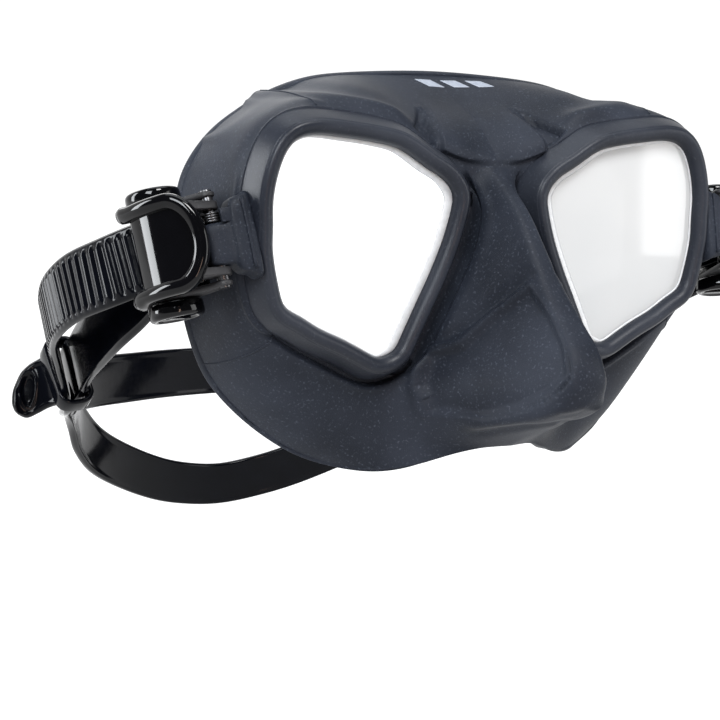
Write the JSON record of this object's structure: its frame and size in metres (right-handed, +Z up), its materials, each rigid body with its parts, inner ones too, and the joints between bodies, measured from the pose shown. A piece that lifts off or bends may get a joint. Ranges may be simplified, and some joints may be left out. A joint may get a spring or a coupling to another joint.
{
  "type": "diving mask",
  "caption": "Two-lens low-volume diving mask with a matt silicone face skirt and nose pocket, swivelling side buckles with release levers, and a split silicone strap.",
  "frame": {"origin": "on the symmetry plane at eye height, level with the rearmost edge of the face skirt where the forehead rests", "axes": "+Z up as worn, front of the mask towards -Y, wearer's left towards +X"},
  "size_m": [0.197, 0.2092, 0.1488],
  "materials": {
    "silicone_matt": "matt moulded silicone, fine speckle",
    "frame_plastic": "moulded, matt",
    "rim_plastic": "satin moulded rim",
    "tempered_glass": "clear tempered glass",
    "stainless_pin": "ground pin",
    "spring_steel": "drawn wire",
    "gloss_black": "polished black",
    "roller_plastic": "moulded acetal",
    "strap_silicone": "glossy moulded silicone"
  },
  "bodies": {
    "mask": {"skirt": "silicone_matt", "main_frame": "frame_plastic", "right_lens": "tempered_glass", "left_lens": "tempered_glass", "right_lens_rim": "rim_plastic", "left_lens_rim": "rim_plastic", "right_lug": "silicone_matt", "left_lug": "silicone_matt", "right_swivel_pin": "stainless_pin", "left_swivel_pin": "stainless_pin", "rear_strap": "strap_silicone", "right_strap_tail": "strap_silicone", "left_strap_tail": "strap_silicone", "right_strap_keeper": "strap_silicone", "left_strap_keeper": "strap_silicone"},
    "right_buckle": {"right_buckle_bracket": "gloss_black", "right_roller_pin": "stainless_pin", "right_upper_cap": "gloss_black", "right_lower_cap": "gloss_black"},
    "right_roller": {"right_strap_roller": "roller_plastic"},
    "right_lever": {"right_release_lever": "gloss_black", "right_lock_pawl": "roller_plastic", "right_lever_spring": "spring_steel"},
    "left_buckle": {"left_buckle_bracket": "gloss_black", "left_roller_pin": "stainless_pin", "left_upper_cap": "gloss_black", "left_lower_cap": "gloss_black"},
    "left_roller": {"left_strap_roller": "roller_plastic"},
    "left_lever": {"left_release_lever": "gloss_black", "left_lock_pawl": "roller_plastic", "left_lever_spring": "spring_steel"}
  },
  "joints": [
    {"name": "right_buckle_swing", "type": "hinge", "parent": "mask", "child": "right_buckle", "pos_m": [-0.074, -0.0325, 0.0024], "axis": [-0.0994, 0.309, 0.9458], "range_deg": [-14, 30], "deforming": ["right_strap_tail"]},
    {"name": "right_roller_spin", "type": "hinge", "parent": "right_buckle", "child": "right_roller", "pos_m": [-0.08141, -0.02146, -0.00198], "axis": [-0.0994, 0.309, 0.9458], "continuous": true},
    {"name": "right_lever_release", "type": "hinge", "parent": "right_buckle", "child": "right_lever", "pos_m": [-0.074, -0.0325, 0.0024], "axis": [-0.0994, 0.309, 0.9458], "range_deg": [0, 25], "stiffness_Nm_per_rad": 0.02, "springref_deg": -5.73},
    {"name": "left_buckle_swing", "type": "hinge", "parent": "mask", "child": "left_buckle", "pos_m": [0.074, -0.0325, 0.0024], "axis": [-0.0994, -0.309, -0.9458], "range_deg": [-14, 30], "deforming": ["left_strap_tail"]},
    {"name": "left_roller_spin", "type": "hinge", "parent": "left_buckle", "child": "left_roller", "pos_m": [0.08141, -0.02146, -0.00198], "axis": [-0.0994, -0.309, -0.9458], "continuous": true},
    {"name": "left_lever_release", "type": "hinge", "parent": "left_buckle", "child": "left_lever", "pos_m": [0.074, -0.0325, 0.0024], "axis": [-0.0994, -0.309, -0.9458], "range_deg": [0, 25], "stiffness_Nm_per_rad": 0.02, "springref_deg": -5.73}
  ]
}
